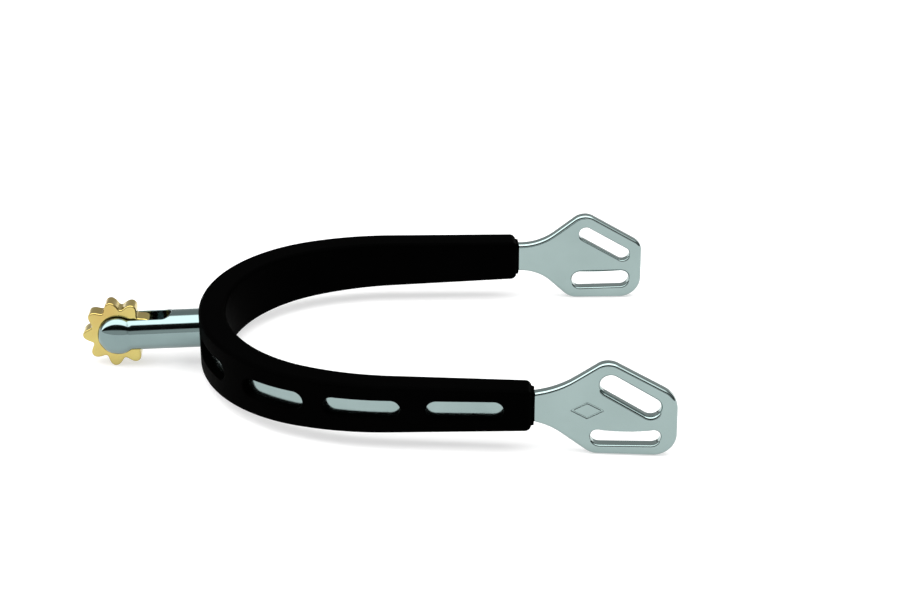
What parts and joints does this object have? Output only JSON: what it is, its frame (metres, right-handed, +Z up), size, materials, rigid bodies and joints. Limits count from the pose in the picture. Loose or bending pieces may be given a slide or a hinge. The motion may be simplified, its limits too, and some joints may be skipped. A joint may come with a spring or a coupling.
{
  "type": "rowel spur",
  "caption": "Rider's spur: steel heel band in a windowed black rubber sleeve, slotted strap plates on the arms, and a forked ball-ended shank with a free-turning brass rowel.",
  "frame": {"origin": "middle of the back of the heel opening, where the back of the boot's heel meets the inside of the sleeve, on the band's middle plane", "axes": "+X forward from the heel towards the open end of the arms, +Y towards the left arm, +Z up"},
  "size_m": [0.1432, 0.0878, 0.0242],
  "materials": {
    "polished_steel": "polished stainless steel",
    "band_steel": "fine ground stainless steel",
    "pin_steel": "turned steel",
    "rowel_brass": "polished brass",
    "black_rubber": "smooth matte rubber"
  },
  "bodies": {
    "frame": {"heel_band": "band_steel", "left_end_plate": "polished_steel", "right_end_plate": "polished_steel", "grip_sleeve": "black_rubber", "shank": "polished_steel", "rowel_pin": "pin_steel", "left_rowel_washer": "pin_steel", "right_rowel_washer": "pin_steel"},
    "rowel": {"rowel": "rowel_brass"}
  },
  "joints": [
    {"name": "rowel_spin", "type": "hinge", "parent": "frame", "child": "rowel", "pos_m": [-0.02683, 0, -0.00035], "axis": [0, 1, 0], "continuous": true}
  ]
}
